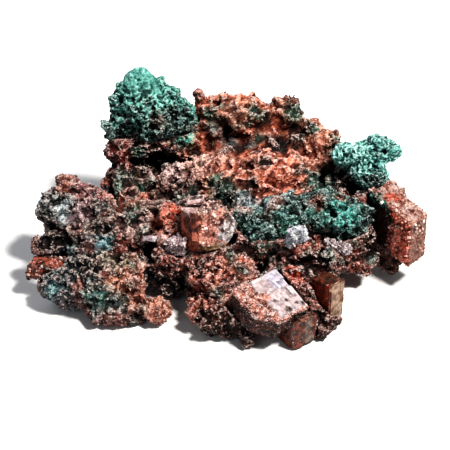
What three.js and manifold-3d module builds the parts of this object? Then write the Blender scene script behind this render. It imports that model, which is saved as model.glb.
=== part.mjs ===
// A malachite specimen: a vuggy lump of red, iron-stained rock. It carries two knobs and a crust of
// green malachite, and rhombic crystals of calcite that stand out of the rock. Millimetres, +Z up,
// +Y to the back. The origin is under the middle of the specimen, on the surface that it rests on.
import * as THREE from "three";
import Module from "manifold-3d";
import { mergeVertices } from "three/addons/utils/BufferGeometryUtils.js";

const wasm = await Module();
wasm.setup();

// Driving dimensions.
const GAP = 0.35; // clearance between the rock and what is seated in it
const ROUGH = 0.14; // height of a lump's ridges, as a share of its smallest half size
const GRAIN = 11; // spacing of the ridges that make a lump craggy
const FACET = 7; // half size of a lump for each step of fineness that it gets
const RHOMB = 12; // degrees that a crystal's faces lean from square
const BEVEL = 0.45; // broken edges of a crystal
const REACH = 200; // a length larger than the specimen
const CENTRING = [-0.24, -1.17, 0]; // brings the middle of the finished specimen over the origin

// Crossing ridges with sharp crests, between about -1 and 1, that differ from lump to lump.
function ridges(x, y, z, seed) {
  const k = Math.PI / GRAIN;
  const crest = (t) => 1 - 2 * Math.abs(Math.sin(t));
  const long = crest(k * (x + 0.6 * y - 0.3 * z) + 1.7 * seed);
  const cross = crest(k * (1.1 * y - 0.8 * x + 0.5 * z) + 2.9 * seed);
  const small = crest(k * 2.3 * (z + 0.5 * y - 0.4 * x) + 4.1 * seed);
  return 0.45 * long + 0.35 * cross + 0.2 * small;
}

// A craggy lump: centre, half sizes and roughness, grown on all sides by the given length. Taper is
// the share of its width that it loses from its foot to its top.
function lump({ at, half, rough = ROUGH, taper = 0 }, grow) {
  const fineness = Math.max(1, Math.round((half[0] + half[1] + half[2]) / 3 / FACET));
  const shape = new THREE.IcosahedronGeometry(1, fineness);
  const places = shape.getAttribute("position");
  const seed = 0.31 * at[0] + 0.17 * at[1] + 0.23 * at[2]; // a number of the lump's own
  const size = new THREE.Vector3(...half);
  const height = rough * Math.min(...half);
  for (let i = 0; i < places.count; i++) {
    const way = new THREE.Vector3().fromBufferAttribute(places, i);
    const place = way.clone().multiply(size);
    const kept = 1 - (taper * (way.z + 1)) / 2;
    const out = way.divide(size).normalize();
    place.x *= kept;
    place.y *= kept;
    place.addScaledVector(out, height * ridges(place.x, place.y, place.z, seed) + grow);
    places.setXYZ(i, place.x, place.y, place.z);
  }
  shape.translate(...at);
  return solid(shape);
}

// A rhombic crystal: a leaning block with broken edges, turned about X, then Y, then Z. The chips are
// the lengths broken off its four upright corners, from the front left corner anticlockwise.
function rhomb({ at, size, turn, lean = RHOMB, chips = [BEVEL, BEVEL, BEVEL, BEVEL] }, grow) {
  const [a, b, c] = size.map((s) => s / 2 + grow);
  const outline = new THREE.Shape();
  outline.moveTo(-a + chips[0], -b);
  outline.lineTo(a - chips[1], -b);
  outline.lineTo(a, -b + chips[1]);
  outline.lineTo(a, b - chips[2]);
  outline.lineTo(a - chips[2], b);
  outline.lineTo(-a + chips[3], b);
  outline.lineTo(-a, b - chips[3]);
  outline.lineTo(-a, -b + chips[0]);
  outline.closePath();
  const shape = new THREE.ExtrudeGeometry(outline, {
    depth: 2 * (c - BEVEL),
    bevelThickness: BEVEL,
    bevelSize: BEVEL,
    bevelOffset: -BEVEL,
    bevelSegments: 1,
  });
  shape.translate(0, 0, BEVEL - c);
  const slope = Math.tan(THREE.MathUtils.degToRad(lean));
  shape.applyMatrix4(new THREE.Matrix4().makeShear(0, slope, slope, 0, 0, 0));
  shape.rotateX(THREE.MathUtils.degToRad(turn[0]));
  shape.rotateY(THREE.MathUtils.degToRad(turn[1]));
  shape.rotateZ(THREE.MathUtils.degToRad(turn[2]));
  shape.translate(...at);
  return solid(shape);
}

// A closed shape as a solid that can be joined and cut.
function solid(shape) {
  shape.deleteAttribute("normal");
  shape.deleteAttribute("uv");
  const merged = mergeVertices(shape, 1e-4);
  return new wasm.Manifold(
    new wasm.Mesh({
      numProp: 3,
      vertProperties: merged.getAttribute("position").array,
      triVerts: new Uint32Array(merged.index.array),
    }),
  );
}

const joined = (solids) => solids.reduce((all, one) => all.add(one));
const lumps = (list, grow) => joined(list.map((one) => lump(one, grow)));

// The rock, from the back to the front.
const ROCK = [
  // Back mass: its body, the rim along its top, the knuckle beside the rim, a shoulder and a spire.
  { at: [7, 14, 12], half: [21, 14.5, 13] },
  { at: [-0.8, 25.2, 27.4], half: [5.4, 5.4, 5.9] },
  { at: [5, 25.2, 27.4], half: [5.4, 5.4, 5.9] },
  { at: [3, 24, 18], half: [10, 6, 9] },
  { at: [10, 24.5, 22], half: [6, 5, 7] },
  { at: [14.2, 25.8, 27], half: [4.8, 4.2, 5.6] },
  { at: [20.5, 22.5, 20.5], half: [6.4, 6, 7.4] },
  { at: [24, 19, 18.5], half: [5.2, 6, 7.2] },
  { at: [-6.2, 26, 28.5], half: [1.6, 1.8, 4.8] },
  { at: [-8, 24, 21], half: [6, 5.5, 7.5] },
  // Foot of the left knob.
  { at: [-16, 23.5, 17], half: [8, 5.5, 9.5] },
  { at: [-23.6, 22, 19], half: [4.2, 4.5, 5.6] },
  { at: [-26, 21.2, 19.8], half: [2.6, 2.4, 2.4] },
  { at: [-23.6, 17, 12.5], half: [5, 6, 7] },
  { at: [-22, 12, 8], half: [10, 9, 7] },
  // Middle, with the ridge in front of the left knob.
  { at: [-7, 1, 9], half: [20, 12.5, 9.5] },
  { at: [-11, 13.5, 12.5], half: [8, 5, 7.8], rough: 0.25 },
  { at: [5, -1, 12], half: [12, 9, 7] },
  { at: [22.5, 2, 9], half: [10, 10, 8] },
  { at: [27, 12, 13], half: [8, 7.5, 8] },
  { at: [32, 7, 13], half: [7, 6, 8] },
  // Left lobe: the knob behind, its cap, the small lobe at its foot, and the masses in front.
  { at: [-36.9, 4.6, 14.5], half: [7.2, 5.2, 5.8], rough: 0.3 },
  { at: [-35.8, 8.3, 19.5], half: [3, 2.2, 2.4], rough: 0.3 },
  { at: [-30, 7, 14.5], half: [5.5, 5, 5] },
  { at: [-39.8, -2.8, 10.2], half: [4.6, 3.4, 3], rough: 0.3 },
  { at: [-27, 0, 9.5], half: [12, 9, 7.5] },
  { at: [-34.5, -10.3, 5.5], half: [8, 7, 5.6], rough: 0.25 },
  { at: [-26, -11.5, 7], half: [9.5, 7.5, 7], rough: 0.2 },
  { at: [-14.8, -17, 2.7], half: [3.5, 3.4, 4], rough: 0.3 },
  { at: [-12.3, -7.6, 5], half: [5.4, 3.6, 4.2] },
  { at: [-25, -17.6, 2.5], half: [5, 4, 4], rough: 0.3 },
  { at: [-20, -16.5, 3], half: [4.2, 4, 4], rough: 0.3 },
  // Front mass, with its spike.
  { at: [-0.5, -12.5, 7.5], half: [8.8, 8.5, 8.5] },
  { at: [1.3, -19.3, 4.5], half: [9.5, 7.2, 6] },
  { at: [4.2, -25.2, 2], half: [2.2, 2.6, 3.2], rough: 0.3 },
  { at: [15, -13.6, 6.6], half: [9, 8.2, 7.2] },
  { at: [21.3, -19, 3], half: [5.6, 4.6, 4.6], rough: 0.3 },
  { at: [20, -21.6, 1.8], half: [4.2, 4, 3.4], rough: 0.3 },
  { at: [19, -9.5, 11], half: [8, 5, 4.5], rough: 0.25 },
  // Right side, with its foot.
  { at: [28.8, -0.6, 11], half: [5.4, 6.8, 7.5] },
  { at: [34, 3.5, 9], half: [4.5, 4, 6] },
  { at: [29.8, -3.8, 7.6], half: [5.6, 3.6, 4.4] },
  { at: [37, 9.4, 12.6], half: [4.4, 3.8, 7.4] },
  { at: [38.2, 0.4, 4.8], half: [3.4, 2.8, 5.4], rough: 0.2 },
];

// Hollows in the rock.
const VUGS = [
  { at: [-14, 17.5, 18], half: [5.5, 4, 3] },
  { at: [-0.7, 19.5, 27], half: [4, 2.5, 2.6] },
  { at: [16.5, 18, 24.5], half: [2.6, 2.6, 2.6] },
  { at: [29, 5.5, 21.5], half: [4.5, 3.5, 2.6] },
  { at: [-16.6, -7.5, 12], half: [1.8, 3.2, 2.4] },
  { at: [20, -14.5, 11.5], half: [4, 4, 2] },
];

// The left knob comes to a blunt peak.
const KNOB_LEFT = [
  { at: [-19.7, 26, 34.4], half: [7.6, 5.8, 6.3], rough: 0.06, taper: 0.62 },
  { at: [-15.4, 26, 32.6], half: [4.4, 3.8, 4] },
  { at: [-17.8, 24.6, 29.4], half: [7.6, 5.4, 6] },
  { at: [-12.5, 25, 30.2], half: [3.2, 4, 3.8] },
  { at: [-25.3, 25.3, 30], half: [2.2, 2.6, 3.7] },
  { at: [-24, 24.5, 25.8], half: [4, 3.8, 4.2] },
  { at: [-16.5, 24, 26.5], half: [6.5, 5, 4] },
  { at: [-10.2, 23.5, 27.6], half: [3.6, 4, 3.8] },
];
const KNOB_RIGHT = [
  { at: [34.6, 11, 27.6], half: [3.8, 3.8, 3.4] },
  { at: [37.4, 11, 26.6], half: [2.4, 3, 2.6] },
  { at: [31, 10, 26.2], half: [4.6, 4.2, 3.6] },
  { at: [27.4, 11, 25.4], half: [3.6, 3.4, 2.8] },
  { at: [32.5, 8, 22.6], half: [5, 3.8, 3.2] },
];
const CRUST = [
  { at: [27, -1, 16.5], half: [5.8, 6, 5] },
  { at: [21, 1, 17], half: [7, 6, 5] },
  { at: [14, 0, 16.5], half: [7, 6, 5] },
  { at: [8, -3, 16], half: [6, 5, 4.6] },
];

const CRYSTALS = {
  crystal_right: { at: [38.6, 0.7, 14], size: [14.4, 6.4, 12], turn: [0, 0, -52], lean: -8 },
  crystal_front: {
    at: [9.2, -22.3, 8.3],
    size: [13.2, 12.3, 5.4],
    turn: [19, 2, 42],
    lean: 2,
    chips: [4, BEVEL, BEVEL, BEVEL],
  },
  crystal_centre: { at: [-3.6, -5.7, 17.6], size: [11, 7, 9.4], turn: [-13, 9, 31], lean: 3 },
  crystal_hopper: { at: [-6.5, -3.5, 22.5], size: [4.4, 3, 3], turn: [10, 0, 0] },
  crystal_lilac: { at: [-10.2, -7.4, 13.8], size: [4.6, 4, 4.6], turn: [15, 0, -20] },
  crystal_shard: { at: [24.8, -8.4, 14.2], size: [6.4, 2, 2], turn: [0, 18, -32] },
  crystal_flake: { at: [-16.6, -6.4, 14.8], size: [3.6, 1.6, 1.3], turn: [20, 0, -10] },
  crystal_white: { at: [15.3, -11.5, 19], size: [4, 3, 4.5], turn: [20, 0, 20] },
  crystal_left: { at: [-39.8, -7.3, 7.6], size: [8, 4.5, 4.2], turn: [0, 5, -10] },
  crystal_lower: { at: [15.2, -22.9, 4], size: [6.8, 7.6, 7.6], turn: [-1, -2, 33], lean: 4 },
  crystal_amber: { at: [22.2, -17.6, 7.4], size: [6.2, 4.6, 10.4], turn: [0, 0, -45], lean: 5 },
};

// Pieces are placed in turn, each cut clear of those placed before it, so that they never touch.
const below = solid(new THREE.BoxGeometry(REACH, REACH, REACH).translate(0, 0, -REACH / 2));
let taken = below;
function placed(shapeOf) {
  const piece = shapeOf(0).subtract(taken);
  taken = taken.add(shapeOf(GAP));
  return piece;
}

function mesh(name, made, material) {
  const { numProp, vertProperties, triVerts } = made.getMesh();
  const shape = new THREE.BufferGeometry();
  const places = new Float32Array((vertProperties.length / numProp) * 3);
  for (let i = 0; i < places.length / 3; i++) {
    places.set(vertProperties.subarray(i * numProp, i * numProp + 3), i * 3);
  }
  shape.setAttribute("position", new THREE.BufferAttribute(places, 3));
  shape.setIndex(new THREE.BufferAttribute(triVerts, 1));
  const flat = shape.toNonIndexed();
  flat.computeVertexNormals();
  const one = new THREE.Mesh(flat, material);
  one.name = name;
  return one;
}

const ironRock = new THREE.MeshStandardMaterial({ color: 0x9a5a48, roughness: 0.9, metalness: 0 });
const malachite = new THREE.MeshStandardMaterial({ color: 0x3fa287, roughness: 0.8, metalness: 0 });
const calcite = new THREE.MeshStandardMaterial({ color: 0xc9a79a, roughness: 0.4, metalness: 0 });

const specimen = new THREE.Group();
specimen.position.set(...CENTRING);
for (const [name, one] of Object.entries(CRYSTALS)) {
  specimen.add(mesh(name, placed((grow) => rhomb(one, grow)), calcite));
}
specimen.add(mesh("malachite_knob_left", placed((grow) => lumps(KNOB_LEFT, grow)), malachite));
specimen.add(mesh("malachite_knob_right", placed((grow) => lumps(KNOB_RIGHT, grow)), malachite));
specimen.add(mesh("malachite_crust", placed((grow) => lumps(CRUST, grow)), malachite));
specimen.add(mesh("matrix", placed((grow) => lumps(ROCK, grow).subtract(lumps(VUGS, 0))), ironRock));

export default specimen;
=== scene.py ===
# A malachite specimen: red, iron-stained rock that carries two knobs and a crust of green malachite,
# rhombic calcite crystals, and a druse of thousands of tiny crystals over nearly all of it.
import math

import bpy
import numpy as np
from mathutils import Euler, Matrix, Vector, noise


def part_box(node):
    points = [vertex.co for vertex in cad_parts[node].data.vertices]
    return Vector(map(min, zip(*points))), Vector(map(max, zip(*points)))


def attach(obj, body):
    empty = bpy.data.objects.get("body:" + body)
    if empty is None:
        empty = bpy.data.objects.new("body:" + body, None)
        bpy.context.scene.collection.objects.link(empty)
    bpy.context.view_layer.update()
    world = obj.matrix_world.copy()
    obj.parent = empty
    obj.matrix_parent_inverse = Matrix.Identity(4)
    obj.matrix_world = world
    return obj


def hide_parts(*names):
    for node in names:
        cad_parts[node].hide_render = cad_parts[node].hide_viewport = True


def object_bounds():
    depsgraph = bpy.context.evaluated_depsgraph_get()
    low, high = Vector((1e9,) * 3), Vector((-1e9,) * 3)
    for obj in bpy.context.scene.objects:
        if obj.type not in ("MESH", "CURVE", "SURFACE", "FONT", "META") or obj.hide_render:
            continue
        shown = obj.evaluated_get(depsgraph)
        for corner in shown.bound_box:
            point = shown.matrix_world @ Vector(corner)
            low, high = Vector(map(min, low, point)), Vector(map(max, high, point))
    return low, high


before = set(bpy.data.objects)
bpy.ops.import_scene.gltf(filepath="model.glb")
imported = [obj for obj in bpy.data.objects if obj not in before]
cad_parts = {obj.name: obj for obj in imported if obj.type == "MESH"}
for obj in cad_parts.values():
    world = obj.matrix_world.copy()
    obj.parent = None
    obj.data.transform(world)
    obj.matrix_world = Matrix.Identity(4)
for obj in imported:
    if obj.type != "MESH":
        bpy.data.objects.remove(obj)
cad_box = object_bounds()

# ---------------------------------------------------------------------------------------------------
# The camera looks down on the specimen from the front. Sizes in this file are in millimetres, and
# MM turns them to metres.
MM = 0.001
AIM = Vector((-0.24, -1.17, 14.0)) * MM
LOOK_DOWN = math.radians(35)
DISTANCE = 337
bpy.ops.object.camera_add(
    location=AIM + Vector((0, -math.cos(LOOK_DOWN), math.sin(LOOK_DOWN))) * DISTANCE * MM,
    rotation=(math.pi / 2 - LOOK_DOWN, 0, 0),
)
camera = bpy.context.object
camera.data.lens = 120
camera.data.sensor_width = 36
camera.data.clip_start = 0.01
bpy.context.scene.camera = camera


# ---------------------------------------------------------------------------------------------------
# A plain pale floor and soft studio light: a large key light above on the right, a weak fill from
# the front left, a lamp low behind the specimen for its back, and a dim even sky.
def srgb(code):
    """A linear colour from its sRGB hex value."""
    parts = [int(code[i : i + 2], 16) / 255 for i in (1, 3, 5)]
    return [((c + 0.055) / 1.055) ** 2.4 if c > 0.04045 else c / 12.92 for c in parts] + [1.0]


def new_material(name):
    """A material with its Principled shader, ready for its colour to be linked."""
    material = bpy.data.materials.new(name)
    material.use_nodes = True
    return material, material.node_tree, material.node_tree.nodes["Principled BSDF"]


def area_light(name, place, size, power, colour):
    """A square lamp of the given size that points at the specimen."""
    bpy.ops.object.light_add(type="AREA", location=Vector(place) * MM)
    lamp = bpy.context.object
    lamp.name = name
    lamp.data.size = size * MM
    lamp.data.energy = power
    lamp.data.color = srgb(colour)[:3]
    lamp.rotation_euler = (AIM - lamp.location).to_track_quat("-Z", "Y").to_euler()


area_light("key", (200, -130, 420), 90, 4.8, "#fffaf4")
area_light("fill", (-300, -350, 260), 300, 0.25, "#f2f7ff")
area_light("rear", (-220, 360, 200), 300, 0.9, "#f6f8ff")

world = bpy.data.worlds.new("studio")
bpy.context.scene.world = world
world.use_nodes = True
world.node_tree.nodes["Background"].inputs["Color"].default_value = srgb("#ffffff")
world.node_tree.nodes["Background"].inputs["Strength"].default_value = 0.1
bpy.context.scene.view_settings.view_transform = "Standard"
bpy.context.scene.view_settings.look = "Medium High Contrast"
bpy.context.scene.view_settings.exposure = 0.0

bpy.ops.mesh.primitive_plane_add(size=4)
floor = bpy.context.object
floor.name = "floor"
# Matt paper has no gloss, so it stays pale and even and takes a soft shadow.
paper, tree, shader = new_material("matt_white_paper")
shader.inputs["Base Color"].default_value = srgb("#f4f4f4")
shader.inputs["Roughness"].default_value = 0.9
floor.data.materials.append(paper)

# ---------------------------------------------------------------------------------------------------
# The rock: one vuggy lump of haematite-stained gossan, broken and weathered. Its mass is modelled
# from the CAD solid: remeshed, broken by cavities, pushed into facets, ledges and pits, then
# remeshed again and roughened.
ROUGH_VOXEL = 0.55  # for the broad forms
ROCK_VOXEL = 0.48  # keeps the piece under 200,000 triangles
TOUCHING = 0.3  # the rock isn't moved where it is this near to what is seated in it
PROUD = 0.3  # how far a surface may stand past the CAD box on its right, its back and its top


def alone(piece):
    """Selects one piece and nothing else."""
    bpy.ops.object.select_all(action="DESELECT")
    piece.select_set(True)
    bpy.context.view_layer.objects.active = piece


def copy_of(node, name):
    """A copy of a CAD node as a piece of its own, with its loose triangles merged."""
    piece = bpy.data.objects.new(name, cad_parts[node].data.copy())
    bpy.context.collection.objects.link(piece)
    piece.data.materials.clear()
    alone(piece)
    bpy.ops.object.mode_set(mode="EDIT")
    bpy.ops.mesh.select_all(action="SELECT")
    bpy.ops.mesh.remove_doubles(threshold=0.01 * MM)
    bpy.ops.object.mode_set(mode="OBJECT")
    return piece


def joined(pieces):
    """The pieces as one."""
    alone(pieces[-1])
    for piece in pieces:
        piece.select_set(True)
    bpy.ops.object.join()
    return bpy.context.object


def apply_modifiers(piece):
    """Applies every modifier of a piece, from the top down."""
    alone(piece)
    for modifier in list(piece.modifiers):
        bpy.ops.object.modifier_apply(modifier=modifier.name)


def remesh(piece, voxel):
    """Adds a voxel remesh, with voxels of the given size."""
    modifier = piece.modifiers.new("remesh", "REMESH")
    modifier.mode = "VOXEL"
    modifier.voxel_size = voxel * MM


def soften(piece, rounds):
    """Adds a smoothing of the given number of rounds."""
    modifier = piece.modifiers.new("smooth", "SMOOTH")
    modifier.factor = 0.5
    modifier.iterations = rounds


def add(tree, kind, inputs=None, **settings):
    """Adds a node with its settings. Its inputs are values, or the nodes or outputs to link from."""
    node = tree.nodes.new(kind)
    for name, value in settings.items():
        setattr(node, name, value)
    for key, value in (inputs or {}).items():
        if isinstance(value, bpy.types.Node):
            value = next(socket for socket in value.outputs if socket.enabled)
        if isinstance(value, bpy.types.NodeSocket):
            tree.links.new(value, node.inputs[key])
        else:
            node.inputs[key].default_value = value
    return node


def new_geometry_group(name):
    """An empty Geometry Nodes group, with the mesh that comes in and the output node."""
    tree = bpy.data.node_groups.new(name, "GeometryNodeTree")
    for way in ("INPUT", "OUTPUT"):
        tree.interface.new_socket("Geometry", in_out=way, socket_type="NodeSocketGeometry")
    return tree, add(tree, "NodeGroupInput").outputs[0], add(tree, "NodeGroupOutput")


# The patterns of a surface: each gives how far the surface is pushed out at a place.
def lumps(tree, place, size, height):
    """Soft swellings with smaller ones on them."""
    inputs = {"Vector": place, "Scale": 1 / size, "Detail": 4.0, "Roughness": 0.6}
    swell = add(tree, "ShaderNodeTexNoise", inputs)
    swell = add(tree, "ShaderNodeMath", {0: swell, 1: 0.5}, operation="SUBTRACT")
    return add(tree, "ShaderNodeMath", {0: swell, 1: 4 * height}, operation="MULTIPLY")


def ridges(tree, place, size, height):
    """Winding crests with troughs between them."""
    inputs = {"Vector": place, "Scale": 1 / size, "Detail": 3.0, "Distortion": 0.4}
    fold = add(tree, "ShaderNodeTexNoise", inputs)
    fold = add(tree, "ShaderNodeMath", {0: fold, 1: 0.5}, operation="SUBTRACT")
    fold = add(tree, "ShaderNodeMath", {0: fold}, operation="ABSOLUTE")
    inputs = {0: fold, 1: -12 * height, 2: height}
    return add(tree, "ShaderNodeMath", inputs, operation="MULTIPLY_ADD")


def ledges(tree, place, size, height):
    """Bent layers, each of which rises and ends in a drop."""
    bend = add(tree, "ShaderNodeTexNoise", {"Vector": place, "Scale": 0.45 / size, "Detail": 2.0})
    slope = (0.5 / size, 0.1 / size, 0.85 / size)
    level = add(tree, "ShaderNodeVectorMath", {0: place, 1: slope}, operation="DOT_PRODUCT")
    level = add(tree, "ShaderNodeMath", {0: bend, 1: 4.0, 2: level}, operation="MULTIPLY_ADD")
    level = add(tree, "ShaderNodeMath", {0: level}, operation="FRACT")
    level = add(tree, "ShaderNodeMath", {0: level, 1: 0.5}, operation="SUBTRACT")
    return add(tree, "ShaderNodeMath", {0: level, 1: height}, operation="MULTIPLY")


def steps(tree, place, size, height):
    """Square blocks that have come away to different depths."""
    inputs = {"Vector": place, "Scale": 1 / size}
    blocks = add(tree, "ShaderNodeTexVoronoi", inputs, distance="CHEBYCHEV").outputs["Color"]
    depth = add(tree, "ShaderNodeSeparateXYZ", {0: blocks})
    return add(tree, "ShaderNodeMath", {0: depth, 1: -height}, operation="MULTIPLY")


def bent(tree, place, size):
    """The place, shifted here and there, so that the cells of a pattern get bent walls."""
    inputs = {"Vector": place, "Scale": 1.3 / size, "Detail": 1.0}
    shift = add(tree, "ShaderNodeTexNoise", inputs).outputs["Color"]
    shift = add(tree, "ShaderNodeVectorMath", {0: shift, 3: 0.9 * size}, operation="SCALE")
    return add(tree, "ShaderNodeVectorMath", {0: place, 1: shift})


def tilted(tree, place, cells):
    """How far each cell of a pattern rises across itself, with a tilt of its own."""
    inputs = {0: place, 1: cells.outputs["Position"]}
    offset = add(tree, "ShaderNodeVectorMath", inputs, operation="SUBTRACT")
    inputs = {0: cells.outputs["Color"], 1: (0.5, 0.5, 0.5)}
    tilt = add(tree, "ShaderNodeVectorMath", inputs, operation="SUBTRACT")
    return add(tree, "ShaderNodeVectorMath", {0: offset, 1: tilt}, operation="DOT_PRODUCT")


def facets(tree, place, size, height):
    """Flat breaks that meet at edges."""
    place = bent(tree, place, size)
    cells = add(tree, "ShaderNodeTexVoronoi", {"Vector": place, "Scale": 1 / size})
    inputs = {0: tilted(tree, place, cells), 1: 4 * height / size}
    return add(tree, "ShaderNodeMath", inputs, operation="MULTIPLY")


def pits(tree, place, size, height, share):
    """Round pits of many depths, in a share of the pattern's cells."""
    place = bent(tree, place, size)
    cells = add(tree, "ShaderNodeTexVoronoi", {"Vector": place, "Scale": 1 / size})
    inputs = {0: cells, 1: 0.12, 2: 0.5, 3: -height, 4: 0.0}
    pit = add(tree, "ShaderNodeMapRange", inputs, interpolation_type="SMOOTHSTEP")
    chance = add(tree, "ShaderNodeSeparateXYZ", {0: cells.outputs["Color"]}).outputs
    there = add(tree, "ShaderNodeMath", {0: chance[0], 1: share}, operation="LESS_THAN")
    deep = add(tree, "ShaderNodeMath", {0: chance[1], 1: 1.2, 2: 0.4}, operation="MULTIPLY_ADD")
    pit = add(tree, "ShaderNodeMath", {0: pit, 1: there}, operation="MULTIPLY")
    return add(tree, "ShaderNodeMath", {0: pit, 1: deep}, operation="MULTIPLY")


def relief(piece, layers, sink=0.0, keep_clear=None, fade=2.5, calm=None, turn=(0, 0, 0)):
    """Adds a modifier that pushes a surface in and out by its layers, from sunk a little inwards. A
    layer is a pattern, its size and height, where in the pattern it starts, and for pits their
    share. It does less near keep_clear, and in the calm sphere: place, reach, share that is left."""
    tree, mesh, output = new_geometry_group(piece.name + "_relief")
    place = add(tree, "GeometryNodeInputPosition")
    inputs = {"Vector": place, "Rotation": [math.radians(-angle) for angle in turn]}
    own = add(tree, "ShaderNodeVectorRotate", inputs, rotation_type="EULER_XYZ")
    push = 0.0
    for pattern, size, height, start, *share in layers:
        shifted = add(tree, "ShaderNodeVectorMath", {0: own, 1: (start, 2 * start, 3 * start)})
        rise = pattern(tree, shifted, size * MM, height * MM, *share)
        push = add(tree, "ShaderNodeMath", {0: push, 1: rise}, operation="ADD")
    if calm:
        centre, reach, left = calm
        inputs = {0: place, 1: [c * MM for c in centre]}
        gone = add(tree, "ShaderNodeVectorMath", inputs, operation="DISTANCE")
        inputs = {0: gone, 1: 0.6 * reach * MM, 2: reach * MM, 3: left, 4: 1.0}
        inputs = {0: push, 1: add(tree, "ShaderNodeMapRange", inputs)}
        push = add(tree, "ShaderNodeMath", inputs, operation="MULTIPLY")
    push = add(tree, "ShaderNodeMath", {0: push, 1: sink * MM}, operation="SUBTRACT")
    if keep_clear:
        target = add(tree, "GeometryNodeObjectInfo", {"Object": keep_clear}).outputs["Geometry"]
        near = add(tree, "GeometryNodeProximity", {0: target}, target_element="FACES")
        inputs = {0: near.outputs["Distance"], 1: TOUCHING * MM, 2: fade * MM}
        inputs = {0: push, 1: add(tree, "ShaderNodeMapRange", inputs)}
        push = add(tree, "ShaderNodeMath", inputs, operation="MULTIPLY")
    inputs = {0: add(tree, "GeometryNodeInputNormal"), 3: push}
    offset = add(tree, "ShaderNodeVectorMath", inputs, operation="SCALE")
    moved = add(tree, "GeometryNodeSetPosition", {"Geometry": mesh, "Offset": offset})
    lowest = [cad_box[0][0], cad_box[0][1], 0.0]
    highest = [c + PROUD * MM for c in cad_box[1]]
    held = add(tree, "ShaderNodeVectorMath", {0: place, 1: lowest}, operation="MAXIMUM")
    held = add(tree, "ShaderNodeVectorMath", {0: held, 1: highest}, operation="MINIMUM")
    inside = add(tree, "GeometryNodeSetPosition", {"Geometry": moved, "Position": held})
    tree.links.new(inside.outputs[0], output.inputs[0])
    piece.modifiers.new("relief", "NODES").node_group = tree


def mark_hollows(piece, marks):
    """Stores how hollow the surface is, from 0 on a crest to 1, at each scale: name, rounds, depth."""
    tree, mesh, output = new_geometry_group(piece.name + "_hollows")
    for name, rounds, depth in marks:
        place = add(tree, "GeometryNodeInputPosition")
        settings = {"data_type": "FLOAT_VECTOR"}
        mean = add(tree, "GeometryNodeBlurAttribute", {"Iterations": rounds}, **settings)
        tree.links.new(place.outputs[0], next(socket for socket in mean.inputs if socket.enabled))
        inwards = add(tree, "ShaderNodeVectorMath", {0: mean, 1: place}, operation="SUBTRACT")
        inputs = {0: inwards, 1: add(tree, "GeometryNodeInputNormal")}
        rise = add(tree, "ShaderNodeVectorMath", inputs, operation="DOT_PRODUCT")
        hollow = add(tree, "ShaderNodeMapRange", {0: rise, 1: -depth * MM, 2: depth * MM})
        inputs = {"Geometry": mesh, "Name": name, "Value": hollow}
        mesh = add(tree, "GeometryNodeStoreNamedAttribute", inputs, data_type="FLOAT")
    tree.links.new(mesh.outputs[0], output.inputs[0])
    piece.modifiers.new("hollows", "NODES").node_group = tree


# What is seated in the rock, as one mesh, so that the rock and its druse can keep clear of it.
seated = joined([copy_of(node, "seated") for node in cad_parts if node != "matrix"])

# Cavities that the rock is broken by: place and half size.
CAVITIES = [
    ((-17.5, 19.5, 17.5), (5.5, 5, 2.8)),
    ((28.5, 8, 19.8), (4.5, 4, 1.8)),
    ((0, 20, 25.7), (1.5, 2.4, 1.0)),
    ((8.4, 10, 24), (2.6, 2.2, 1.1)),
    ((12, 18, 22.8), (3.2, 2.5, 0.9)),
    ((16.7, 19, 25.4), (2.4, 2.5, 1.5)),
    ((5, 8.5, 23.5), (1.2, 1.6, 1)),
    ((5.4, 4.5, 21), (1.4, 1.6, 0.9)),
    ((-1, 14.5, 23.5), (0.9, 1.2, 0.8)),
    ((-17, -6, 10), (1.6, 4, 2.6)),
    ((-23.5, -10.8, 12.7), (2.4, 2, 1.2)),
    ((-28, -15.5, 12.4), (1.3, 1.6, 2)),
    ((-38.5, -5.2, 12.2), (4, 2.2, 0.9)),
    ((-28, -4.6, 15.6), (2, 2, 1.2)),
    ((-17.6, 1, 16.8), (1.6, 1.5, 0.9)),
    ((19, -14.5, 12.8), (4.5, 3, 1.4)),
    ((33.2, -4.6, 12), (1.6, 1.8, 3.4)),
    ((-20, -21, 3.2), (1.6, 1.8, 1)),
]
blobs = []
for place, half in CAVITIES:
    bpy.ops.mesh.primitive_ico_sphere_add(subdivisions=3, radius=1)
    blob = bpy.context.object
    for corner in blob.data.vertices:
        corner.co *= 1 + 0.9 * noise.noise(corner.co * 1.3 + Vector(place))
    stretch = Matrix.Diagonal((*(Vector(half) * MM), 1))
    blob.data.transform(Matrix.Translation(Vector(place) * MM) @ stretch)
    blobs.append(blob)
hollows = joined(blobs)
remesh(hollows, 0.5)
apply_modifiers(hollows)

COARSE = [
    (facets, 9, 0.8, 0.7),
    (facets, 4.5, 0.5, 0.9),
    (ledges, 5.5, 1.2, 0),
    (pits, 4.5, 1.8, 0.5, 0.12),
]
FINE = [
    (facets, 2.2, 0.32, 0),
    (facets, 1.1, 0.18, 0.4),
    (lumps, 1.8, 0.12, 0),
    (pits, 2.2, 1.1, 0.7, 0.09),
]
# The lower left lobe is less broken, and the earthy mass at the back is smoother.
LOWER_LOBE = ((-30, -14, 6), 16, 0.6)
BACK_MASS = ((8, 16, 26), 17, 0.45)
rock = copy_of("matrix", "rock")
remesh(rock, ROUGH_VOXEL)
soften(rock, 8)
modifier = rock.modifiers.new("cavities", "BOOLEAN")
modifier.operation = "DIFFERENCE"
modifier.object = hollows
relief(rock, COARSE, keep_clear=seated, calm=LOWER_LOBE)
remesh(rock, ROCK_VOXEL)
relief(rock, FINE, sink=0.05, keep_clear=seated, fade=1.2, calm=BACK_MASS)
mark_hollows(rock, [("hollow", 5, 0.25), ("deep", 60, 1.1)])
apply_modifiers(rock)
bpy.data.objects.remove(hollows)

WIDE = 4.5  # stains with at least this reach lie under the mixtures, and smaller ones over them


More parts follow.
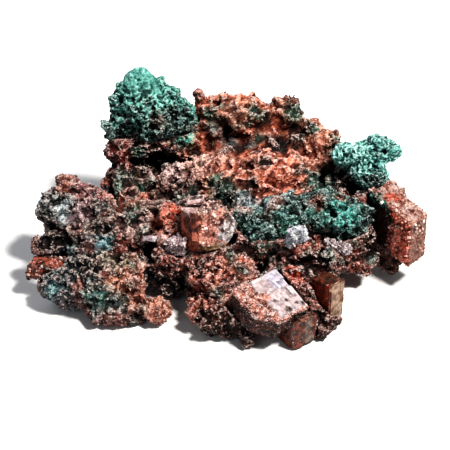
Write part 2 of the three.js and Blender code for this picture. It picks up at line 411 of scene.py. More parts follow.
def scattered(places, mixtures):
    """Small patches of mixed minerals at random spots: place, reach, count and minerals of each."""
    draw = np.random.default_rng(5)
    for place, reach, count, minerals in mixtures:
        near = places[np.linalg.norm(places - np.array(place), axis=1) < reach]
        for spot in near[draw.integers(len(near), size=count)]:
            yield spot, draw.uniform(0.4, 1.6), *minerals[draw.integers(len(minerals))]


def speckle(places, fineness, start):
    """A random value at each place, from -1 to 1, that changes over about 1 / fineness mm."""
    return np.array([noise.noise(Vector(place) * fineness + Vector(start)) for place in places])


def at_corners(mesh, name):
    """A vector at each corner of a mesh, as rows."""
    values = np.empty(len(mesh.vertices) * 3, np.float32)
    mesh.vertices.foreach_get(name, values)
    return values.reshape(-1, 3)


def paint(piece, base, patches, soft=1.2, fine=1.9, faces=(), frame_of=None, mixtures=()):
    """Stores the minerals at each corner: their colour, with flecks of a second colour in it, and how
    thickly the druse coats them. Some faces and patches hold painted shade instead. Faces list them by
    direction, and patches by place and reach, or half sizes. Both are in the piece's own frame, if it
    has one: its middle and its turn."""
    mesh = piece.data
    places = at_corners(mesh, "co") / MM
    normals = at_corners(mesh, "normal")
    broad = speckle(places, 0.35, (0, 0, 0))
    ragged = speckle(places, fine, (7, 7, 7))
    flecks = speckle(places, 0.9, (3, 9, 1)) + 0.5 * ragged
    flecks = np.clip(0.3 + 3.5 * flecks, 0, 1)[:, None]
    if frame_of is not None:
        middle, turned = frame_of
        places = (places - np.array(middle)) @ turned
        normals = normals @ turned

    def mineral(main, fleck, coat):
        return np.array(srgb(main)[:3] + srgb(fleck)[:3] + [coat])

    mixed = np.tile(mineral(*base), (len(places), 1))
    if faces:
        facing = normals @ np.array([Vector(way).normalized() for way, *_ in faces]).T
        mixed = np.array([mineral(*values) for way, *values in faces])[facing.argmax(axis=1)]
    wide_ones = [patch for patch in patches if mixtures and patch[1] >= WIDE]
    small_ones = [patch for patch in patches if patch not in wide_ones]
    for place, reach, *values in [*wide_ones, *scattered(places, mixtures), *small_ones]:
        if isinstance(reach, tuple):
            beyond = (np.abs(places - np.array(place)) - np.array(reach)).max(axis=1)
            edge = (0.35 * ragged - beyond) / soft
        else:
            gone = np.linalg.norm(places - np.array(place), axis=1)
            edge = (reach - gone + (1.4 * broad + 2.2 * ragged) * min(1, reach / 4)) / soft
        share = np.clip(0.5 + edge * 0.5, 0, 1)[:, None]
        mixed = mixed * (1 - share) + mineral(*values) * share
    tone = np.ones((len(places), 4))
    tone[:, :3] = mixed[:, :3] * (1 - flecks) + mixed[:, 3:6] * flecks
    layer = mesh.attributes.new("tone", "FLOAT_COLOR", "POINT")
    layer.data.foreach_set("color", tone.astype(np.float32).ravel())
    layer = mesh.attributes.new("coat", "FLOAT", "POINT")
    layer.data.foreach_set("value", mixed[:, 6].astype(np.float32))


# The minerals of the rock, with some patches of painted shade: place, reach, colour, colour of the
# flecks, and share of druse.
STAINS_AND_SHADE = [
    # back mass: earthy and brick red, paler on its upper right, with green skins on its rim
    ((3, 19, 24), 14, "#c0755c", "#6e2b1b", 0.1),
    ((10, 6, 21), 9, "#bf7660", "#6e2f22", 0.25),
    ((1, 22, 32), 6, "#c58066", "#5c2f22", 0.1),
    ((20, 18, 25), 6, "#cf8a70", "#7c3a28", 0.1),
    ((19.4, 16, 21.5), 3.5, "#dca996", "#955040", 0.6),
    ((-3.5, 20, 29.5), 2.4, "#12221b", "#3a5f4e", 0.2),
    ((-0.5, 20, 29.5), 2.4, "#2a4236", "#9d644f", 0.3),
    ((5.5, 20.6, 30.5), 2.4, "#30493d", "#11100d", 0.3),
    ((9, 20.6, 29.5), 1.8, "#30493d", "#11100d", 0.3),
    ((16.5, 22, 30), 3.4, "#365a4a", "#12201a", 0.3),
    ((19.5, 19, 27.5), 2.4, "#192a23", "#365a4a", 0.2),
    # painted shade inside the cavity here
    ((16.7, 19, 25.4), 2.4, "#1b1411", "#192a23", 0.0),
    ((26, 17, 24), 3, "#275648", "#0d1814", 0.4),
    ((21.5, 9.5, 20.5), 5.5, "#1b2924", "#3a5f54", 0.5),
    ((-1, 14.5, 23.5), 1.4, "#28312e", "#14110f", 0.2),
    ((1, 11.5, 24), 1.4, "#28312e", "#446a5e", 0.2),
    # foot of the left knob: dark red, with near-black patches of painted shade in the hollow beneath
    # the knob
    ((-24, 16, 18), 7, "#7c1a0b", "#190a09", 0.35),
    ((-17, 19, 17), 5.5, "#1b0605", "#0e0504", 0.1),
    ((-23, 16, 14), 2.6, "#5e6e56", "#32110a", 0.6),
    ((-27, 18.5, 21.5), 3, "#120f0e", "#6c160b", 0.2),
    ((-10, 18, 25), 3, "#5aa898", "#12332c", 0.5),
    ((-13, 15, 20.5), 2, "#23725f", "#0d1d18", 0.5),
    # middle
    ((-18, 3, 16), 9, "#a1817c", "#292520", 0.9),
    ((-22, 10, 14), 6, "#ad6f60", "#1f3a2e", 0.8),
    ((-12, 12, 20), 3.2, "#e1bfbb", "#5a4543", 1.0),
    ((-14, -3, 17), 3.6, "#c4705a", "#5c2218", 0.8),
    ((-11, -2, 18), 2, "#b04a30", "#66200f", 0.7),
    ((-6, 6, 20.5), 4.5, "#375246", "#0f120e", 0.7),
    ((0, 3, 19.5), 4, "#476056", "#12221c", 0.7),
    ((4.5, 1.5, 18.4), 2.4, "#93a2a8", "#3a4446", 1.0),
    ((8, -0.6, 19.3), 2, "#a9c4c8", "#56747a", 1.0),
    ((-3.5, 13, 22.5), 4.4, "#dfae9d", "#8c5446", 0.7),
    ((-1.5, 9.4, 23), 3.4, "#cf8f7c", "#6e3024", 0.5),
    ((-5.8, 9.6, 21.2), 2.6, "#cfa096", "#6a3a30", 0.8),
    ((3.6, 7, 22.9), 2.4, "#c97f68", "#6a2a1c", 0.4),
    ((-2.5, 6.6, 21.5), 1.6, "#3d7f70", "#12332c", 0.7),
    ((-6, 14, 20), 3, "#e6c4b8", "#806056", 0.9),
    # left lobe: its near-black patches, most of them by its cavities, are painted shade
    ((-36.6, 5.4, 21), 2.8, "#8f5548", "#3c1b16", 0.5),
    ((-38, 1, 17.5), 5, "#969c9a", "#202321", 0.9),
    ((-35.8, -0.7, 17), 2.4, "#d3e3e9", "#7a8589", 1.0),
    ((-31.5, 5, 18.5), 3, "#ac8080", "#311e1d", 0.9),
    ((-32.5, 0, 15.7), 3.2, "#c1a8ab", "#382a2a", 1.0),
    ((-33.5, -4, 14), 2, "#c77f71", "#4d2520", 0.9),
    ((-41, -1, 15), 3, "#39403e", "#0e100f", 0.6),
    ((-28, -3.5, 15), 4, "#282c2a", "#5d3e34", 0.5),
    ((-35, -8.5, 12.5), 3.6, "#2c2825", "#110d0c", 0.5),
    ((-34.7, -6.3, 12), 1.9, "#7da2a8", "#202f34", 0.9),
    ((-27.5, -7.5, 13.8), 2.1, "#79a8b1", "#1c2c30", 0.9),
    ((-31, -9, 13), 2, "#74403a", "#2a100e", 0.9),
    ((-39, -9, 10), 3, "#2a2a27", "#5c312c", 0.4),
    ((-38, -4, 12.2), 3.2, "#1c1d1d", "#38302f", 0.3),
    ((-34.8, -4.6, 13), 2.0, "#1c1d1d", "#4a3c3a", 0.5),
    ((-33, -12, 11), 3.5, "#283338", "#0c0e0f", 0.5),
    ((-36, -16, 7.5), 6.5, "#374148", "#0f1215", 0.8),
    ((-38, -15.5, 6.5), 1.4, "#598b8f", "#294347", 0.8),
    ((-30, -14, 12), 3, "#232425", "#0a0b0b", 0.4),
    ((-24, -13, 12), 3.4, "#94836a", "#25201a", 0.9),
    ((-27.4, -19.5, 7), 3.4, "#638d86", "#1a2523", 0.9),
    ((-24, -19, 5.5), 2.4, "#8e9c9b", "#333f3e", 1.0),
    ((-20.5, -16.5, 9), 6, "#cd9078", "#6a3424", 1.0),
    ((-22, -19.5, 7.5), 1.3, "#325e45", "#112119", 0.7),
    ((-14.4, -19.5, 5), 3.4, "#c98a74", "#5c281a", 1.0),
    ((-25.3, -21, 2), 3, "#8b5954", "#261514", 0.8),
    # the near-black notch between the left lobe and the front mass: painted shade
    ((-10.2, -12.3, 5.6), 4, "#160b09", "#2d110d", 0.2),
    ((-14.6, -11.4, 7), 2.4, "#120706", "#080404", 0.0),
    ((-12.6, -12, 4), 2.8, "#120706", "#080404", 0.0),
    # front mass
    ((3, -18, 12.6), 7, "#cb8672", "#5e2418", 1.0),
    ((-5.6, -20, 9), 5, "#b8705e", "#45140c", 1.0),
    # darker low down, near the floor: painted shade
    ((0, -27, 3.5), 7, "#3e1406", "#140705", 0.6),
    ((16, -17.4, 13.5), 3, "#ab3d1f", "#410c04", 0.7),
    ((20.5, -11, 15), 4.5, "#973829", "#2f0a06", 0.9),
    # near-black beside the left of the right crystal: painted shade
    ((31.6, -6, 14.4), 2.8, "#1d0805", "#3a140c", 0.0),
    ((32.8, -2.6, 13), 3.6, "#1d0805", "#2e0e08", 0.0),
    ((33.4, -3, 9), 3.6, "#1d0805", "#2e0e08", 0.0),
    ((31.2, -7.6, 12.2), 2.0, "#1d0805", "#4a1a10", 0.0),
    ((38, 8.5, 19.5), 4.4, "#b9a098", "#8a5a4c", 1.0),
    # darker low down, near the floor: painted shade
    ((28, -7, 8), 6, "#52140c", "#170604", 0.6),
    ((22.4, -23, 2.6), 4.5, "#491910", "#160806", 0.6),
    ((9, -9, 15.5), 3.4, "#5b3a30", "#1a3f37", 0.8),
    ((21, -7, 14), 3.4, "#7f3a2c", "#264b3f", 0.9),
    ((27.2, -8, 14), 2.2, "#733225", "#20473b", 0.8),
    # dark under the ledge: painted shade
    ((25, -9.4, 12.6), 2.2, "#2a100b", "#120706", 0.3),
    ((21.5, -10.5, 11.5), 2.4, "#34130d", "#120706", 0.4),
    # darker low down: painted shade
    ((38, -2, 4), 4, "#522515", "#180a06", 0.6),
    # its back and underside
    ((12, 28, 12), 7, "#8f4c3a", "#351610", 0.7),
    ((-8, 27, 14), 6, "#7c665e", "#2a2220", 0.9),
    ((26, 21, 10), 6, "#a1614d", "#43180f", 0.8),
    ((-30, 12, 8), 6, "#6d5c57", "#231c1a", 0.9),
    ((-20, 26, 12), 5, "#7b2a1a", "#260c07", 0.5),
    ((2, 28, 6), 5, "#34453e", "#121815", 0.5),
]
# What is mixed into them in small patches.
EARTHY = [
    ("#d3876a", "#903d2a", 0.3),
    ("#2d0c06", "#120504", 0.1),
    ("#71220e", "#330c04", 0.1),
    ("#192922", "#0b120f", 0.2),
    ("#c36e4a", "#7e301c", 0.2),
]
ROSY = [
    ("#d5b4ae", "#8a625b", 1.0),
    ("#be6249", "#5c1e12", 1.0),
    ("#310f09", "#0e0504", 0.3),
    ("#192925", "#0d1511", 0.5),
    ("#762414", "#2b0d09", 0.8),
    ("#72978f", "#192d29", 0.9),
]
BLUISH = [
    ("#6f8f96", "#2a3c42", 0.9),
    ("#14191b", "#0a0c0d", 0.3),
    ("#121415", "#2a2c2e", 0.3),
    ("#a8a0a3", "#4a4648", 1.0),
    ("#6a2c22", "#2a100c", 0.6),
    ("#4a7f7c", "#16282a", 0.8),
]
GREENY = [
    ("#4f9184", "#1a332d", 0.7),
    ("#0f1614", "#0a0d0c", 0.3),
    ("#9fb4b4", "#3a4a48", 1.0),
    ("#5a2a20", "#1e0d0a", 0.5),
    ("#2e6a5c", "#0f1f1b", 0.6),
]
MIXTURES = [
    ((6, 14, 24), 16, 90, EARTHY),
    ((6, 16, 30), 14, 30, GREENY),
    ((-24, 14, 16), 9, 60, ROSY),
    ((-16, 4, 16), 12, 130, ROSY),
    ((-4, 5, 18), 9, 45, GREENY),
    ((-2, 10, 22), 8, 30, EARTHY),
    ((-38, 2, 16), 9, 60, BLUISH),
    ((-36, -14, 8), 11, 90, BLUISH),
    ((-32, -6, 13), 7, 40, BLUISH),
    ((-22, -17, 8), 10, 110, ROSY),
    ((4, -17, 13), 8, 70, ROSY),
    ((24, -8, 10), 10, 70, ROSY),
    ((22, -4, 14), 9, 40, GREENY),
    ((6, 28, 12), 18, 130, ROSY),
    ((-24, 22, 10), 12, 60, GREENY),
    ((32, 8, 12), 9, 50, ROSY),
]
# Cavities are painted nearly black as shade, and carry no druse.
CAVITY_SHADE = [(place, 0.4 * sum(half), "#1c0c09", "#080404", 0.0) for place, half in CAVITIES]
paint(rock, ("#84483e", "#1d1613", 0.9), STAINS_AND_SHADE + CAVITY_SHADE, mixtures=MIXTURES)


# Gossan is dull and earthy where it is bare: painted dark as shade in its hollows and on what faces
# down, and speckled at the size of its grains. Where it is coated, each cell of a fine pattern is one
# facet, with a tilt and a shade of its own; its brightest cells are painted glints, frosted pale.
FACET = 0.3
# The pale that painted highlights on the rock and its druse turn to.
ROSY_WHITE = "#efd8d0"


def painted_light_and_shade(tree, tone, light, pale):
    """The mineral's colour at a painted light of 0 to 2: a deep and rich copy below 1, as painted
    shade, and a frosted pale copy above it, as painted highlight.
    """
    painted_shadow_tone = add(tree, "ShaderNodeVectorMath", {0: tone, 1: tone}, operation="MULTIPLY")
    painted_shadow_tone = add(tree, "ShaderNodeVectorMath", {0: painted_shadow_tone, 3: 0.35}, operation="SCALE")
    below = add(tree, "ShaderNodeMath", {0: light, 1: 1.0}, operation="MULTIPLY", use_clamp=True)
    above = add(tree, "ShaderNodeMath", {0: light, 1: 1.0}, operation="SUBTRACT", use_clamp=True)
    colour = add(tree, "ShaderNodeMix", {0: below, 6: painted_shadow_tone, 7: tone}, data_type="RGBA")
    painted_highlight = add(tree, "ShaderNodeMix", {0: 0.5, 6: tone, 7: srgb(pale)}, data_type="RGBA")
    return add(tree, "ShaderNodeMix", {0: above, 6: colour, 7: painted_highlight}, data_type="RGBA")


def with_painted_shade(tree, light, pore_shade, hollow_shade):
    """The painted light: less in fine pores and wide hollows, as painted shade, more on crests, and
    less on what faces down than on what faces up.
    """
    fine = add(tree, "ShaderNodeAttribute", attribute_name="hollow").outputs["Fac"]
    deep = add(tree, "ShaderNodeAttribute", attribute_name="deep").outputs["Fac"]
    facing = add(tree, "ShaderNodeTexCoord").outputs["Normal"]
    upwards = add(tree, "ShaderNodeSeparateXYZ", {0: facing}).outputs[2]
    for inputs in (
        {0: upwards, 1: -0.5, 2: 0.9, 3: 0.25, 4: 1.25},
        {0: fine, 1: 0.25, 2: 0.75, 3: 1.2, 4: pore_shade},
        {0: deep, 1: 0.45, 2: 0.9, 3: 1.05, 4: hollow_shade},
    ):
        inputs = {0: light, 1: add(tree, "ShaderNodeMapRange", inputs)}
        light = add(tree, "ShaderNodeMath", inputs, operation="MULTIPLY")
    return light


def mineral_skin(tree, shader, grain, speckle_low, speckle_high, pore_shade, hollow_shade, pale=ROSY_WHITE):
    """Links the colour and the bump of a surface that is bare in places and sparkling in others. The
    sparkle, the pale crests and the dark pores are painted light and shade in its colour.
    """
    place = add(tree, "ShaderNodeTexCoord").outputs["Object"]
    tone = add(tree, "ShaderNodeAttribute", attribute_name="tone").outputs["Color"]
    coat = add(tree, "ShaderNodeAttribute", attribute_name="coat").outputs["Fac"]
    inputs = {"Vector": place, "Scale": 1 / (grain * MM), "Detail": 4.0}
    grains = add(tree, "ShaderNodeTexNoise", inputs)
    inputs = {0: grains, 1: 0.35, 2: 0.65, 3: speckle_low, 4: speckle_high}
    bare = add(tree, "ShaderNodeMapRange", inputs)
    cells = add(tree, "ShaderNodeTexVoronoi", {"Vector": place, "Scale": 1 / (FACET * MM)})
    chance = add(tree, "ShaderNodeSeparateXYZ", {0: cells.outputs["Color"]})
    coat_glints = add(tree, "ShaderNodeMapRange", {0: chance, 1: 0.1, 2: 0.95, 3: 0.25, 4: 1.7})
    light = add(tree, "ShaderNodeMix", {0: coat, 2: bare, 3: coat_glints})
    colour = painted_light_and_shade(tree, tone, with_painted_shade(tree, light, pore_shade, hollow_shade), pale)
    tree.links.new(colour.outputs["Result"], shader.inputs["Base Color"])
    earthy = add(tree, "ShaderNodeMath", {0: grains, 1: grain * 0.6 * MM}, operation="MULTIPLY")
    height = add(tree, "ShaderNodeMix", {0: coat, 2: earthy, 3: tilted(tree, place, cells)})
    bump = add(tree, "ShaderNodeBump", {"Height": height, "Strength": 1.0, "Distance": 1.0})
    tree.links.new(bump.outputs[0], shader.inputs["Normal"])


gossan, tree, shader = new_material("haematite_stained_rock")
mineral_skin(tree, shader, 0.45, 0.45, 1.6, 0.3, 0.1)
shader.inputs["Roughness"].default_value = 0.65
shader.inputs["Specular IOR Level"].default_value = 0.15
rock.data.materials.append(gossan)
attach(rock, "root")
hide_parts("matrix")

# ---------------------------------------------------------------------------------------------------
# The malachite: two knobs and a crust of fibrous, velvety green copper carbonate. It grows as small
# rounded buds that leave dark pores between them.
# Base, skins and mixtures list minerals as they are listed for the rock, and the skins also hold
# painted light and shade. Coarse and fine are layers of relief, and calm is a sphere with less of it.
BUDS = [(ridges, 1.6, 0.3, 0), (pits, 1.5, 1.1, 0.6, 0.25)]
MALACHITE = {
    "malachite_knob_left": {
        "slot": "malachite",
        "base": ("#488b81", "#1d4641", 0.1),
        "skins_and_shade": [
            # lighter near the top, and darker low down and on its lower sides: painted light and shade
            ((-20, 23, 37.5), 5.5, "#63a298", "#3e7f77", 0.0),
            ((-17, 20, 31), 6, "#72b3a8", "#214f4b", 0.0),
            ((-25.5, 22, 31), 3, "#4d8c83", "#1d413e", 0.0),
            ((-25.5, 21, 26), 4.5, "#1a3733", "#0a1211", 0.2),
            ((-18, 19, 25.5), 4, "#2a4f4a", "#0b1211", 0.5),
            ((-12, 19, 25), 4, "#647e79", "#192522", 0.7),
            ((-10.5, 20, 29), 3, "#2b4f4a", "#0c1715", 0.4),
            # four pores painted near-black as shade
            ((-18.6, 21, 35.6), 0.8, "#0d1f1c", "#060a09", 0.0),
            ((-17.9, 20.2, 33.4), 1.0, "#0d1f1c", "#060a09", 0.0),
            ((-20.4, 19.4, 31.4), 1.2, "#0d1f1c", "#060a09", 0.0),
            ((-15.6, 19, 30.6), 1.0, "#0d1f1c", "#060a09", 0.0),
        ],
        "mixtures": [
            ((-13, 20, 26), 6, 60, ROSY),
            ((-22, 20, 25), 5, 30, GREENY),
        ],
        "coarse": [
            (facets, 5, 0.7, 0),
            (ridges, 3, 0.5, 0.2),
            (pits, 3.2, 2.2, 0.4, 0.35),
        ],
        "fine": BUDS,
        "calm": ((-19.5, 23, 38.5), 7, 0.3),
    },
    "malachite_knob_right": {
        "slot": "malachite_pale",
        "base": ("#68a9a3", "#2b5f5b", 0.0),
        "skins_and_shade": [
            # lighter on its upper left and darker low down: painted light and shade
            ((28, 6, 26.5), 4.5, "#8abab3", "#4d8b83", 0.0),
            ((36, 8, 29), 4.5, "#55928c", "#24514d", 0.0),
            ((33, 3, 21.5), 3.5, "#2a4340", "#0c1211", 0.4),
            ((27, 5, 21.5), 3, "#1f3431", "#0c1211", 0.4),
        ],
        "coarse": [
            (facets, 4, 0.4, 0),
            (ridges, 3, 0.4, 0.2),
            (pits, 2.6, 2.0, 0.4, 0.3),
        ],
        "fine": BUDS,
    },
    "malachite_crust": {
        "slot": "malachite",
        "base": ("#3f5652", "#141b1a", 0.9),
        "skins_and_shade": [
            ((25.5, -4, 19.5), 4.4, "#43948b", "#1a4a46", 0.5),
            ((4.5, 1.5, 18.4), 2.2, "#93a2a8", "#3a4446", 1.0),
            ((8.0, -0.6, 19.3), 2.2, "#a9c4c8", "#56747a", 1.0),
            # near-black between the crust and the centre crystal: painted shade
            ((3.1, -5.3, 17.7), 2.2, "#121716", "#22443c", 0.4),
            ((6.3, -8.2, 17.6), 1.8, "#2a6a5a", "#0f1f1b", 0.6),
            ((13.0, -5.3, 19.6), 1.8, "#5f8f90", "#22403e", 0.9),
            ((16.7, 5.1, 19.2), 1.8, "#7a4334", "#2a120d", 0.7),
            ((19.6, -4.8, 19.3), 1.6, "#17201e", "#3a6a60", 0.5),
            ((14.4, 1, 21.7), 2, "#9fb4b4", "#3c4a49", 1.0),
            ((16.4, -1, 20.7), 2.4, "#62807b", "#1c2a27", 0.9),
            ((20, -2, 21.3), 2, "#8c5040", "#34160f", 0.9),
            ((13, -6, 17), 3.5, "#346a5e", "#111f1c", 0.6),
            ((7, -8, 16), 3, "#253330", "#5f8a84", 0.8),
            ((31, 3, 20), 3, "#2d4a45", "#101615", 0.6),
            # near-black by the right crystal: painted shade
            ((32, -3.6, 17.6), 2.0, "#12211d", "#08100e", 0.2),
        ],
        "mixtures": [
            ((13, -2, 18), 14, 110, GREENY),
            ((16, -4, 18), 12, 40, ROSY),
        ],
        "coarse": [
            (facets, 4, 1.0, 0),
            (lumps, 5, 0.8, 0),
            (pits, 4, 2.4, 0.4, 0.35),
        ],
        "fine": [
            (lumps, 1.6, 0.25, 0),
            (facets, 0.9, 0.12, 0),
            (pits, 1.6, 1.0, 0.6, 0.2),
        ],
    },
}

# Velvety green: pale on the bud tips as painted highlight, nearly black in the pores as painted shade.
velvet, tree, shader = new_material("velvet_malachite")
mineral_skin(tree, shader, 0.35, 0.5, 1.5, 0.05, 0.15, "#cfe6e0")
shader.inputs["Roughness"].default_value = 0.65
shader.inputs["Specular IOR Level"].default_value = 0.15
malachite_pieces = []
for node, look in MALACHITE.items():
    piece = copy_of(node, node.replace("malachite", "green"))
    remesh(piece, 0.35)
    soften(piece, 6)
    relief(piece, look["coarse"], sink=0.1, calm=look.get("calm"))
    remesh(piece, 0.25)
    relief(piece, look["fine"], calm=look.get("calm"))
    mark_hollows(piece, [("hollow", 5, 0.2), ("deep", 50, 0.8)])
    apply_modifiers(piece)
    paint(piece, look["base"], look["skins_and_shade"], mixtures=look.get("mixtures", []))
    piece.data.materials.append(velvet)
    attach(piece, "root")
    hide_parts(node)
    malachite_pieces.append(piece)

# ---------------------------------------------------------------------------------------------------
# The calcite crystals: blunt rhombs with flat cleaved faces, broken in low steps along their edges.
# Some are clean and pearly, and others carry a thin coat.
#
# Turn turns a crystal's own frame about X, then Y, then Z, in degrees. Faces are in that frame, by
# direction, and so are patches, and the breaks of broken corners: a point and the way out. Clear is
# the share of the light that goes through.
CALCITE = {
    "crystal_front": {
        "slot": "calcite_white",
        "turn": (19, 2, 42),
        "faces": [
            ((0, 0, 1), "#a87060", "#5c2c22", 1.0),
            # its sides are painted darker than its top, as shade
            ((-1, 0, 0), "#54281c", "#180906", 1.0),
            ((0, -1, 0), "#54281c", "#180906", 1.0),
            ((1, 0, 0), "#3a1a12", "#120705", 0.8),
        ],
        "patches": [
            ((2.2, -0.1, 2.7), (4.3, 5.9, 1.2), "#a39597", "#8c7c7e", 0.0),
            ((4.0, 3.0, 2.7), (2.2, 2.6, 1.2), "#97929f", "#86808e", 0.0),
            ((-1.6, 0.4, 2.7), 1.1, "#b57a6a", "#6a3428", 0.9),
            ((1.0, -4.6, 2.7), 0.8, "#57463f", "#1c1512", 0.1),
            ((3.4, -4.4, 2.7), 0.5, "#57463f", "#1c1512", 0.2),
            ((5.0, -5.2, 2.7), 0.6, "#6a4a40", "#1c1512", 0.6),
            ((2.2, -2.6, 2.7), 0.45, "#57463f", "#1c1512", 0.2),
            ((4.7, -2.8, 2.7), 0.4, "#57463f", "#1c1512", 0.2),
            ((-0.4, -1.6, 2.7), 0.45, "#57463f", "#1c1512", 0.2),
        ],
    },
    "crystal_right": {
        "slot": "calcite_red",
        "turn": (0, 0, -52),
        "faces": [
            ((0, 0, 1), "#a08780", "#6a382d", 0.6),
            ((0, -1, 0), "#d4735c", "#7a2c1c", 1.0),
            ((1, 0, 0), "#946b5e", "#6a4034", 0.45),
            # its left face is painted dark as shade
            ((-1, 0, 0), "#3a1a13", "#120807", 0.5),
            ((0, 1, 0), "#6a3a2e", "#2a120d", 0.5),
        ],
        "patches": [
            # the left third of its front face: dark red, then near-black as painted shade
            ((-3.0, -3.2, -1), (4.6, 0.8, 8.0), "#7a2616", "#3a120b", 0.6),
            ((-4.3, -3.2, -1), (4.7, 0.8, 8.0), "#180604", "#2c0e09", 0.0),
            ((0.6, -3.2, 2.6), 1.2, "#220906", "#3a120b", 0.2),
            ((-4.2, -3.0, 5.8), 1.7, "#2a5f55", "#0f231f", 0.6),
            ((-2.0, -3.2, 5.4), 1.3, "#35746a", "#12302a", 0.6),
            ((-0.4, -3.2, 4.6), 1.0, "#2f6a60", "#12302a", 0.6),
            ((-1.8, 0, 6), 1.8, "#a04a36", "#5a1d12", 0.6),
        ],
    },
    "crystal_centre": {
        "slot": "calcite_brown",
        "turn": (-13, 9, 31),
        "clear": 0.25,
        "faces": [
            ((0, 0, 1), "#a98a82", "#553732", 1.0),
            ((-1, 0, 0), "#c9735a", "#8e4a36", 0.0),
            ((0, -1, 0), "#d39a8c", "#8a5448", 0.7),
            ((1, 0, 0), "#7a5a50", "#2c1a15", 0.4),
        ],
        "patches": [
            ((-5.4, -0.6, 2.4), 2.6, "#6e2e22", "#3a160f", 0.0),
            ((-5.2, 0.5, -2.4), 2.2, "#b0562f", "#6a2c1a", 0.0),
            ((-1.4, -3.5, -3.9), (3.8, 1.0, 0.9), "#a08468", "#6f5038", 0.0),
            ((3.4, -3.5, -0.6), 2.9, "#e2dada", "#8c8284", 0.15),
            ((4.2, -3.5, 2.0), 1.8, "#cfc8c8", "#6a5c5c", 0.3),
            ((2.6, -3.5, -2.2), 1.1, "#cfc8c8", "#8c8284", 0.3),
            ((0.9, -3.5, 1.9), 0.9, "#54201a", "#1c0c09", 0.2),
            ((2.4, -3.5, 3.0), 0.7, "#3a1a14", "#1c0c09", 0.2),
            ((-0.6, -3.5, -0.8), 0.6, "#6a2a1e", "#1c0c09", 0.2),
            ((1.6, -3.5, -0.2), 0.5, "#54201a", "#1c0c09", 0.2),
            ((-4.6, 1, 4.7), 2.0, "#d0b4b2", "#a88a88", 0.1),
        ],
        "broken": [
            ((3.6, -3, 3.0), (0.7, -0.3, 0.8)),
            ((3.6, -3.2, -2.9), (0.75, -0.3, -0.7)),
            ((-4.2, -2.4, -3.2), (-0.7, -0.5, -0.6)),
            ((0, -3.0, 4.3), (0.1, -1, 1.1)),
            ((-5.0, -2.6, 0), (-1, -1, 0.1)),
        ],
    },
    "crystal_hopper": {
        "slot": "calcite_white",
        "turn": (10, 0, 0),
        "faces": [((0, 0, 1), "#c2a6a4", "#a08280", 0.1)],
        "patches": [((0.1, 0.2, 1.2), (1.4, 0.6, 1.2), "#2c1814", "#160b09", 0.0)],
    },
    "crystal_lilac": {
        "slot": "calcite_white",
        "turn": (15, 0, -20),
        "faces": [((0, 0, 1), "#cbb8bb", "#8a7074", 1.0)],
    },
    "crystal_shard": {
        "slot": "calcite_white",
        "turn": (0, 18, -32),
        "faces": [((0, 0, 1), "#b8aeb2", "#7a6a6c", 0.8)],
    },
    "crystal_flake": {
        "slot": "calcite_white",
        "turn": (20, 0, -10),
        "faces": [((0, 0, 1), "#c4bcc2", "#8a7a80", 0.0)],
    },
    "crystal_white": {
        "slot": "calcite_white",
        "turn": (20, 0, 20),
        "faces": [((0, 0, 1), "#c2c4cf", "#8a9496", 1.0)],
    },
    "crystal_left": {
        "slot": "calcite_red",
        "turn": (0, 5, -10),
        "clear": 0.2,
        "faces": [((0, 0, 1), "#9c4f3c", "#3a120c", 0.6)],
    },
    "crystal_lower": {
        "slot": "calcite_brown",
        "turn": (-1, -2, 33),
        "clear": 0.2,
        "faces": [
            ((-1, 0, 0), "#8a3c28", "#3a140b", 0.3),
            ((0, -1, 0), "#7a3a28", "#40180d", 0.3),
            ((0, 0, 1), "#5a3226", "#20100c", 0.6),
            ((1, 0, 0), "#3a1a12", "#140a08", 0.5),
        ],
        "patches": [((0.9, -3.8, 0), (0.9, 1.0, 3.2), "#8f7d72", "#6a5046", 0.0)],
        "broken": [
            ((-3, -3, -3.4), (-1, -0.8, -1.2)),
            ((3.2, -3.6, -2.4), (0.8, -0.3, -1)),
        ],
    },
    "crystal_amber": {
        "slot": "calcite_amber",
        "turn": (0, 0, -45),
        "clear": 0.2,
        "faces": [
            ((0, -1, 0), "#96300f", "#3c1006", 0.1),
            ((1, 0, 0), "#b89c86", "#8a6048", 0.0),
            ((0, 0, 1), "#4a2012", "#200c07", 0.4),
        ],
        "patches": [((0, -2.3, 1), 1.6, "#b04c1e", "#6a2810", 0.0)],
        "broken": [((3, 2, 4.8), (1, 0.6, 1))],
    },
}

# Most crystals are cleaved in low steps, and three small ones are broken all over.
ROUGH_ONES = ("crystal_white", "crystal_lilac", "crystal_shard")
CLEAVED = [(steps, 3.5, 0.3, 0), (steps, 1.3, 0.12, 0), (lumps, 1.2, 0.03, 0)]
BROKEN = [(facets, 2.0, 0.5, 0), (facets, 0.9, 0.2, 0), (steps, 1.3, 0.3, 0)]

# The pale shade that each kind of calcite has where it is frosted, and that its painted highlights
# turn to.
FROST_AND_HIGHLIGHT = {
    "calcite_white": "#efe6e6",
    "calcite_red": "#e2b6a6",
    "calcite_brown": "#b98a78",
    "calcite_amber": "#9a6a50",
}


def break_off(piece, point, outwards):
    """Breaks off what lies beyond a plane through a point."""
    alone(piece)
    bpy.ops.object.mode_set(mode="EDIT")
    bpy.ops.mesh.select_all(action="SELECT")
    bpy.ops.mesh.bisect(plane_co=point, plane_no=outwards, use_fill=True, clear_outer=True)
    bpy.ops.object.mode_set(mode="OBJECT")


